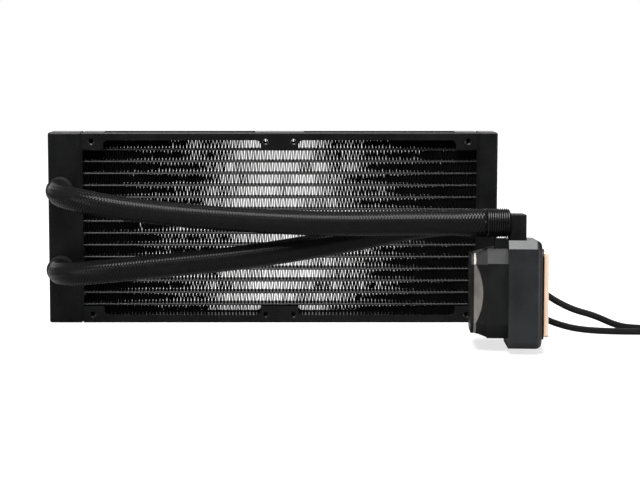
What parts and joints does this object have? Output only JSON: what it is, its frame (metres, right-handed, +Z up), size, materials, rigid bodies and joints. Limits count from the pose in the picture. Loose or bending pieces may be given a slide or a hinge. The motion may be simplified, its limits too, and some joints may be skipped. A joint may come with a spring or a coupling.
{
  "type": "all in one processor liquid cooler",
  "caption": "Closed-loop liquid cooler: a long finned radiator standing on edge, two sleeved hoses and a square pump block with a copper contact plate.",
  "frame": {"origin": "middle of the radiator between its fan screw holes and in its depth, on the surface that it stands on", "axes": "+X along the radiator towards the pump, +Z up, -Y towards the side that the pump lies on"},
  "size_m": [0.482, 0.1735, 0.137],
  "materials": {
    "radiator_black": "satin black paint over folded aluminium",
    "core_black": "thin black paint on fins and tubes",
    "fitting_black": "black anodised",
    "sleeve_black": "fine black braid over rubber",
    "housing_black": "fine matt moulded black",
    "collar_black": "ribbed satin black",
    "trim_grey": "satin dark grey",
    "panel_dark": "smooth dark grey",
    "copper": "machined bare copper",
    "winding_copper": "enamelled copper wire",
    "steel": "plain steel",
    "seal_rubber": "soft black rubber",
    "magnet_dark": "sintered magnet",
    "inner_plastic": "moulded dark plastic",
    "board_green": "lacquered circuit board",
    "lead_black": "soft black insulation"
  },
  "bodies": {
    "cooler": {"left_tank": "radiator_black", "right_tank": "radiator_black", "left_header": "radiator_black", "right_header": "radiator_black", "top_side_plate": "radiator_black", "bottom_side_plate": "radiator_black", "flat_tubes": "core_black", "fill_plug": "fitting_black", "upper_barb": "fitting_black", "lower_barb": "fitting_black", "upper_ferrule": "collar_black", "lower_ferrule": "collar_black", "upper_hose": "sleeve_black", "lower_hose": "sleeve_black", "pump_base": "housing_black", "pump_cover": "housing_black", "base_flange": "housing_black", "bezel": "housing_black", "trim_ring": "trim_grey", "top_panel": "panel_dark", "cold_plate": "copper", "cold_plate_screws": "steel", "cold_plate_gasket": "seal_rubber", "jet_plate": "steel", "rotor_can": "inner_plastic", "rotor_shaft": "steel", "stator_core": "steel", "stator_windings": "winding_copper", "circuit_board": "board_green", "lead_grommet": "seal_rubber", "upper_lead": "lead_black", "lower_lead": "lead_black", "upper_lead_coil": "lead_black", "lower_lead_coil": "lead_black", "fan_plug": "housing_black", "power_plug": "housing_black", "fin_row_01": "core_black", "fin_row_02": "core_black", "fin_row_03": "core_black", "fin_row_04": "core_black", "fin_row_05": "core_black", "fin_row_06": "core_black", "fin_row_07": "core_black", "fin_row_08": "core_black", "fin_row_09": "core_black", "fin_row_10": "core_black", "fin_row_11": "core_black", "fin_row_12": "core_black", "fin_row_13": "core_black", "fin_row_14": "core_black", "fin_row_15": "core_black"},
    "rotor": {"impeller": "inner_plastic", "rotor_magnet": "magnet_dark", "rotor_bush": "inner_plastic"},
    "front_swivel": {"front_elbow": "housing_black", "front_collar": "collar_black", "front_elbow_seal": "seal_rubber"},
    "rear_swivel": {"rear_elbow": "housing_black", "rear_collar": "collar_black", "rear_elbow_seal": "seal_rubber"}
  },
  "joints": [
    {"name": "rotor_spin", "type": "hinge", "parent": "cooler", "child": "rotor", "pos_m": [0.16183, -0.12272, 0.03693], "axis": [-0.9976, 0.0698, 0], "continuous": true},
    {"name": "front_elbow_swivel", "type": "hinge", "parent": "cooler", "child": "front_swivel", "pos_m": [0.15604, -0.13243, 0.0727], "axis": [0.0047, 0.0679, 0.9977], "range_deg": [-6, 35], "deforming": ["upper_hose"]},
    {"name": "rear_elbow_swivel", "type": "hinge", "parent": "cooler", "child": "rear_swivel", "pos_m": [0.15778, -0.10755, 0.071], "axis": [0.0047, 0.0679, 0.9977], "range_deg": [-35, 6], "deforming": ["lower_hose"]}
  ]
}
